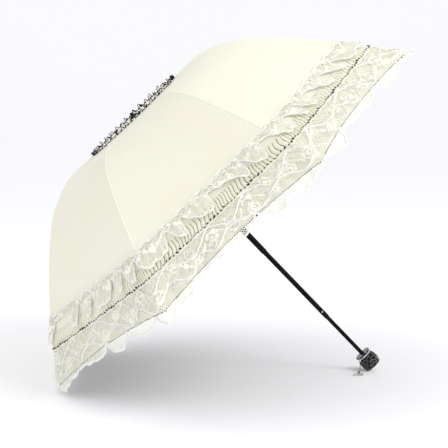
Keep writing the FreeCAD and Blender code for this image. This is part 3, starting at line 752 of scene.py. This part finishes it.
def lower_lace(half):
    name, _, q_first, q_last, _ = half

    def inside(q, v):
        return v < lower_edge(q)

    def opening(q, v):
        edge = (v < 0.003) | (v > lower_edge(q) - 0.0034)
        band = (np.abs(v - festoon(q, 0)) < 0.0022) | (np.abs(v - festoon(q, 1)) < 0.0020)
        return np.where(edge | band, 0.0, motif(q + 0.11, v, *LOWER_ROSES))

    piece = net(f"lower_lace_{name}", lower_place, 26, CELL_HEIGHT, inside, opening,
                q_first, q_last, LACE)
    q = np.linspace(q_first, q_last, 170)
    cords = [cord_on(lower_place, q, lower_edge(q), LOBE_EDGE_CORD),
             cord_on(lower_place, q, festoon(q, 0), LACE_EDGE_CORD),
             cord_on(lower_place, q, festoon(q, 1), LACE_EDGE_CORD)]
    cords.extend(rose_cords(lower_place, q_first, q_last, *LOWER_ROSE_CORDS))
    # Olive lines through the lace, in their own material: painted shadow of its threads.
    threads = painted_thread_shadows(lower_place, q_first, q_last, LOWER_THREAD_SHADOWS)
    cord = join_tubes(f"lower_lace_cord_and_painted_shadow_{name}", cords, LACE_CORD, threads, THREAD_SHADOW_PAINT)
    length = cut_width(lower_place, q_first, q_last, LOWER_LACE_MIDDLE)
    trim(half, piece, "lower_lace",
         [cord])


# ---- pleated satin ribbon ---------------------------------------------------------------
PLEAT = 0.0074
RIBBON_MIDDLE = 0.012
RIBBON_WIDTH = LOWER_LACE_TOP - RIBBON_TOP


def pleat_phase(q, v):
    """Pleats stand at a slant and bend a little; whole numbers are creases."""
    turn = turn_at(q)
    count = round(RIBS * GORE_WIDTH / PLEAT)
    slant = 0.55 * (v / RIBBON_WIDTH) + 0.18 * np.sin(v / RIBBON_WIDTH * 2 * math.pi + 7 * turn)
    creases = count * turn / (2 * math.pi)
    return creases + slant + 0.35 * np.sin(29 * turn) + 0.25 * np.sin(11 * turn + 1)


def ribbon_place(q, v):
    puff = np.abs(np.sin(math.pi * pleat_phase(q, v))) ** 0.55
    across = np.sin(math.pi * np.clip(0.06 + 0.88 * v / RIBBON_WIDTH, 0, 1)) ** 0.6
    s = RIBBON_TOP + v
    return surface(q, s, 0.0005 + 0.0030 * puff * across + cloth_lift(q, s) * 0.8)


def ribbon(half):
    """Pleated band with painted shade along each crease, as dark faces and a dark line, and black
    stitches under it.
    """
    name, _, q_first, q_last, _ = half
    columns, rows = 330, 11
    q = np.linspace(q_first, q_last, columns)[None, :]
    v = np.linspace(0, RIBBON_WIDTH + 0.001, rows)[:, None]
    q, v = np.broadcast_arrays(q, v)
    points = ribbon_place(q, v)
    faces = grid_faces(rows, columns, 0, True)
    phase = pleat_phase(q, v)
    middle = (phase[:-1, :-1] + phase[1:, 1:]) / 2
    # Faces near each crease take the dark material: painted shade in the creases.
    kinds = (np.abs(middle - np.round(middle)) < 0.06).astype(int).ravel().tolist()
    piece = new_piece(f"ribbon_{name}", points.reshape(-1, 3), faces, [RIBBON, CREASE_SHADE_PAINT], kinds)
    threads = []
    first, last = (math.ceil(pleat_phase(end, RIBBON_MIDDLE)) for end in (q_first, q_last))
    # A dark line along each crease, more painted crease shade.
    for number in np.arange(first, last):
        line_v = np.linspace(0.001, RIBBON_WIDTH - 0.001, 9)
        low, high = np.full(9, q_first - 0.1), np.full(9, q_last + 0.1)
        for _ in range(22):         # halve the range until it holds the crease closely
            mid = (low + high) / 2
            before = pleat_phase(mid, line_v) < number
            low, high = np.where(before, mid, low), np.where(before, high, mid)
        points = ribbon_place((low + high) / 2, line_v)
        outward = np.broadcast_to(UP, points.shape)
        radius = 0.00038 + 0.00022 * (number % 3 == 0)
        threads.append(tube(points + 0.0002 * UP, outward, radius, 4))
    thread = join_tubes(f"ribbon_crease_shade_lines_{name}", threads, BLACK_THREAD_AND_CREASE_SHADE)
    stitches = join_tubes(f"ribbon_stitches_{name}", black_stitches(q_first, q_last), BLACK_THREAD_AND_CREASE_SHADE)
    trim(half, piece, "ribbon",
         [thread, stitches])


def edge_place(q, v):
    """Line of the black stitches, over the lower lace's upper edge."""
    s = LOWER_LACE_TOP + v
    return surface(q, s, 0.0030 + cloth_lift(q, s) * 0.8)


STITCHES = 42                   # in a gore


def black_stitches(q_first, q_last):
    """Heavy black stitches of uneven length, with knots between them."""
    made = []
    for index in range(math.ceil(q_first * STITCHES), math.ceil(q_last * STITCHES)):
        turn = index * GOLDEN_TURN
        length = 0.0042 + 0.0018 * math.sin(turn)
        q = (index + 0.5) / STITCHES + np.linspace(-0.5, 0.5, 6) * length / GORE_WIDTH
        v = 0.0012 * math.sin(2 * turn) + np.linspace(-0.5, 0.5, 6) * 0.0030 * math.sin(3 * turn)
        cloud, faces = cord_on(edge_place, q, v, 0.0010 + 0.0004 * math.sin(5 * turn), 6)
        ring = cloud.reshape(6, 6, 3)
        middle = ring.mean(axis=1, keepdims=True)
        taper = np.array([0.25, 0.85, 1, 1, 0.85, 0.25])[:, None, None]
        made.append(((middle + (ring - middle) * taper).reshape(-1, 3), faces))
    return made


# ---- hem piping -----------------------------------------------------------------------
def hem_place(q, v):
    s = HEM + rim_drop(q) + v
    return surface(q, s, 0.0003 + cloth_lift(q, s))


def hem_piping(half):
    name, rib, q_first, q_last, away = half
    q = np.linspace(q_first, q_last, 60)
    piping = cord_on(hem_place, q, 0 * q, PIPING, 6)
    piece = join_tubes(f"hem_piping_{name}", [piping], BLACK_THREAD_AND_CREASE_SHADE)
    hang(piece, "outer_rib", rib, "canopy")


# ---- black lace round the crown ----------------------------------------------------------
CROWN_TURN = RIBS * 34          # cells once round the ring


def crown_height(q):
    """Ragged upper edge of the standing lace."""
    gap = smooth(0.9 + 1.4 * wave(q, 47, 2.4))
    return 0.0014 + gap * (0.0042 + 0.0018 * wave(q, 31, 0.2) + 0.0012 * wave(q, 83, 1.2))


def crown_place(q, v):
    angle = FIRST_RIB + 2 * HALF_GORE * q
    lean = 0.0016 * wave(q, 40, 0.5) + 0.0010 * wave(q, 97, 1.5)
    radius = CROWN_LACE_RADIUS + lean * (0.3 + v / 0.008)
    base = CROWN_HEIGHT + 0.0003
    return world(radius * np.cos(angle), radius * np.sin(angle), base + v)


def crown_lace(half):
    """Standing lace, sewn on the top canopy cloth and riding on the same top rib link."""
    name, rib, q_first, q_last, away = half

    def inside(q, v):
        return v < crown_height(q)

    def opening(q, v):
        spot = q * 4.5
        flower = petals((spot - np.round(spot)) * 0.0171, v - 0.004, 0.0042)
        foot = (v < 0.0016) & (wave(q, 75, 0.6) > -0.2)
        return np.where(flower | foot, 0.0, 0.84)

    piece = net(f"crown_lace_{name}", crown_place, 5, CROWN_CELL_HEIGHT, inside, opening,
                q_first, q_last, BLACK_LACE, CROWN_TURN)
    q = np.linspace(q_first, q_last, 90)
    edge = cord_on(crown_place, q, crown_height(q), CROWN_EDGE_CORD, 5)
    cord = join_tubes(f"crown_lace_cord_{name}", [edge], BLACK_LACE)
    for part in (piece, cord):
        hang(part, "top_rib", rib, "crown_lace")


for half_gore in HALVES:
    upper_lace(half_gore)
    ribbon(half_gore)
    lower_lace(half_gore)
    hem_piping(half_gore)
    crown_lace(half_gore)


def cut_black_with_painted_glints(name, scale):
    """Gloss black plastic with a cut pattern: small flats, with painted highlights along their
    edges.
    """
    made, tree, shader = material(name, (0.005, 0.005, 0.006), 0.05, shine=0.2)
    place = tree.nodes.new("ShaderNodeTexCoord")
    cells = tree.nodes.new("ShaderNodeTexVoronoi")
    cells.feature = "DISTANCE_TO_EDGE"
    cells.inputs["Scale"].default_value = scale
    ramp = tree.nodes.new("ShaderNodeValToRGB")
    # Base colour light grey along the cell edges, black on the flats: painted glints where facets
    # would catch light.
    ramp.color_ramp.elements[0].position = 0.012
    ramp.color_ramp.elements[0].color = (0.30, 0.30, 0.31, 1)
    ramp.color_ramp.elements[1].position = 0.045
    ramp.color_ramp.elements[1].color = (0.005, 0.005, 0.006, 1)
    bump = tree.nodes.new("ShaderNodeBump")
    bump.inputs["Strength"].default_value = 1.0
    bump.inputs["Distance"].default_value = 0.0008
    tree.links.new(place.outputs["Object"], cells.inputs["Vector"])
    tree.links.new(cells.outputs["Distance"], ramp.inputs["Fac"])
    tree.links.new(ramp.outputs["Color"], shader.inputs["Base Color"])
    tree.links.new(cells.outputs["Distance"], bump.inputs["Height"])
    tree.links.new(bump.outputs["Normal"], shader.inputs["Normal"])
    return made


# ---- materials of the frame, shaft, handle and charm -------------------------------
ENAMEL = hard_material("shaft_enamel", (0.004, 0.004, 0.005), (0.012, 0.012, 0.013), 90, 0.10,
                       (0.18, 0.34), shine=0.05)
RIB_STEEL = hard_material("rib_black_steel", (0.008, 0.008, 0.009), (0.026, 0.026, 0.028), 160,
                          0.15, (0.28, 0.5), metal=0.2, shine=0.3)
WIRE = hard_material("spring_wire", (0.22, 0.22, 0.23), (0.42, 0.42, 0.44), 220, 0.1,
                     (0.22, 0.42), metal=1.0)
CHROME = hard_material("chrome", (0.72, 0.72, 0.74), (0.86, 0.86, 0.88), 120, 0.05,
                       (0.06, 0.16), metal=1.0)
MOULDED = hard_material("black_moulded", (0.006, 0.006, 0.007), (0.018, 0.018, 0.019), 140, 0.2,
                        (0.3, 0.48), shine=0.3)
GLOSSY = hard_material("cap_gloss_black", (0.003, 0.003, 0.004), (0.009, 0.009, 0.010), 60, 0.04,
                       (0.03, 0.10), shine=0.25)
CUT_GLOSS_PAINTED_GLINTS = cut_black_with_painted_glints("handle_cut_black_painted_glints", 150.0)
BEAD = hard_material("bead_jet", (0.01, 0.01, 0.011), (0.05, 0.05, 0.055), 400, 0.1,
                     (0.05, 0.15), coat=1.0)
PEWTER = hard_material("charm_pewter", (0.42, 0.42, 0.42), (0.72, 0.72, 0.70), 500, 0.25,
                       (0.2, 0.4), metal=0.7)
CORD = cloth_material("charm_cord_braid", (0.012, 0.012, 0.013), (0.05, 0.05, 0.052),
                      0.7, 0.2, 0.0005, 0.6)

FINISHES = {
    "top_tube": ENAMEL, "upper_middle_tube": ENAMEL, "lower_middle_tube": ENAMEL,
    "bottom_tube": ENAMEL,
    "ferrule_cap": GLOSSY, "top_notch": MOULDED, "runner": MOULDED, "runner_catch": CHROME,
    "notch_wire": WIRE, "runner_wire": WIRE, "tube_button": CHROME, "top_rib": RIB_STEEL,
    "middle_rib": RIB_STEEL, "outer_rib": RIB_STEEL, "strut": RIB_STEEL, "handle_knob": CUT_GLOSS_PAINTED_GLINTS,
    "handle_collar": CUT_GLOSS_PAINTED_GLINTS, "handle_ring": CHROME, "charm_eyelet": CHROME, "charm_beads": BEAD,
    "charm_bow": PEWTER,
}

for node_name, node in frame["nodes"].items():
    finish = FINISHES.get(node_name.rstrip("_12345678"))    # the ribs and struts are numbered
    if finish is not None:
        node.data.materials.clear()
        node.data.materials.append(finish)


# ---- charm cord ------------------------------------------------------------------------
EYELET = (-0.0130, -0.0115, -0.3660)
CORD_DROP = ((0.0, 0.0, 0.0190), (0.0, -0.0006, 0.0125), (-0.0006, -0.0026, 0.0065),
             (-0.0019, -0.0072, 0.0027), (-0.0042, -0.0136, 0.0022), (-0.0062, -0.0202, 0.0023),
             (-0.0072, -0.0264, 0.0022))
CORD_DIAMETER = 0.0012


def charm_cord():
    eyelet = world(*np.array(EYELET))
    line = bpy.data.curves.new("charm_cord_line", "CURVE")
    line.dimensions = "3D"
    line.bevel_depth = CORD_DIAMETER / 2
    line.bevel_resolution = 4
    line.resolution_u = 12
    line.use_fill_caps = True
    route = line.splines.new("NURBS")
    route.points.add(len(CORD_DROP) - 1)
    for point, (x, y, height) in zip(route.points, CORD_DROP):
        point.co = (eyelet[0] + x, eyelet[1] + y, height, 1)
    route.order_u = 3
    route.use_endpoint_u = True
    line.materials.append(CORD)
    piece = bpy.data.objects.new("charm_cord_braid", line)
    bpy.context.scene.collection.objects.link(piece)
    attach(piece, "bottom_tube")
    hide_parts("charm_cord")
    x, y, height = CORD_DROP[0]


charm_cord()


# ---- camera, floor and light ---------------------------------------------------------
CAMERA_AZIMUTH = math.radians(-3.9)
CAMERA_ELEVATION = math.radians(6.24)
CAMERA_DISTANCE = 2.764
AIM_SIDE = -0.003               # from the middle of the CAD box
AIM_HEIGHT = 0.2687
FOCAL_LENGTH = 124.8            # millimetres, on a 36 mm sensor
SWEEP_FLAT = 7.0                # radius of the level floor
SWEEP_BEND = 3.0
SWEEP_SEGMENTS = 96
FLOOR_GLOW = 0.12
WORLD_STRENGTH = 0.84


def studio():
    """Camera at the photograph's viewing angle."""
    low, high = CAD_BOX
    centre = (low + high) / 2
    target = Vector((centre.x + AIM_SIDE, 0.0, AIM_HEIGHT))
    level = math.cos(CAMERA_ELEVATION)
    back = Vector((math.sin(CAMERA_AZIMUTH) * level, -math.cos(CAMERA_AZIMUTH) * level,
                   math.sin(CAMERA_ELEVATION)))
    lens = bpy.data.cameras.new("camera")
    lens.sensor_width = 36.0
    lens.lens = FOCAL_LENGTH
    camera = bpy.data.objects.new("camera", lens)
    camera.location = target + back * CAMERA_DISTANCE
    camera.rotation_mode = "QUATERNION"
    camera.rotation_quaternion = (-back).to_track_quat("-Z", "Y")
    bpy.context.scene.collection.objects.link(camera)
    bpy.context.scene.camera = camera


def lamp(name, place, size, power, colour, aim):
    """Soft square lamp that points at aim."""
    light = bpy.data.lights.new(name, "AREA")
    light.size = size
    light.energy = power
    light.color = colour
    holder = bpy.data.objects.new(name, light)
    holder.location = place
    holder.rotation_mode = "QUATERNION"
    holder.rotation_quaternion = (Vector(aim) - Vector(place)).to_track_quat("-Z", "Y")
    bpy.context.scene.collection.objects.link(holder)


def sweep():
    """Pale floor that curves up all round, far away."""
    rings = [(0.5, 0.0), (2.0, 0.0), (SWEEP_FLAT, 0.0)]
    for step in range(1, 13):
        angle = math.radians(7.5 * step)
        rings.append((SWEEP_FLAT + SWEEP_BEND * math.sin(angle),
                      SWEEP_BEND * (1 - math.cos(angle))))
    segments = SWEEP_SEGMENTS
    points = [(0.0, 0.0, 0.0)]
    faces = []
    for radius, height in rings:
        for index in range(segments):
            angle = 2 * math.pi * index / segments
            points.append((radius * math.cos(angle), radius * math.sin(angle), height))
    for index in range(segments):
        faces.append([0, 1 + index, 1 + (index + 1) % segments])
    for ring in range(len(rings) - 1):
        for index in range(segments):
            a = 1 + ring * segments + index
            b = 1 + ring * segments + (index + 1) % segments
            faces.append([a, a + segments, b + segments, b])
    made, tree, shader = material("studio_floor", (0.93, 0.93, 0.95), 0.9)
    mottle(tree, shader, (0.935, 0.935, 0.955), (0.945, 0.945, 0.96), 0.6)
    shader.inputs["Emission Color"].default_value = (1.0, 1.0, 1.0, 1)
    shader.inputs["Emission Strength"].default_value = FLOOR_GLOW
    floor = new_piece("studio_floor", np.array(points), faces, [made])


studio()
sweep()
lamp("key", (2.2, -2.0, 3.0), 2.0, 60, (1.0, 0.995, 0.98), (0, 0, 0.3))
lamp("fill", (-3.0, -2.5, 1.8), 3.0, 6, (0.96, 0.97, 1.0), (0, 0, 0.3))
WORLD = bpy.data.worlds.new("studio")
bpy.context.scene.world = WORLD
WORLD.use_nodes = True
WORLD.node_tree.nodes["Background"].inputs["Color"].default_value = (0.985, 0.99, 1.0, 1)
WORLD.node_tree.nodes["Background"].inputs["Strength"].default_value = WORLD_STRENGTH
bpy.context.scene.view_settings.view_transform = "Standard"
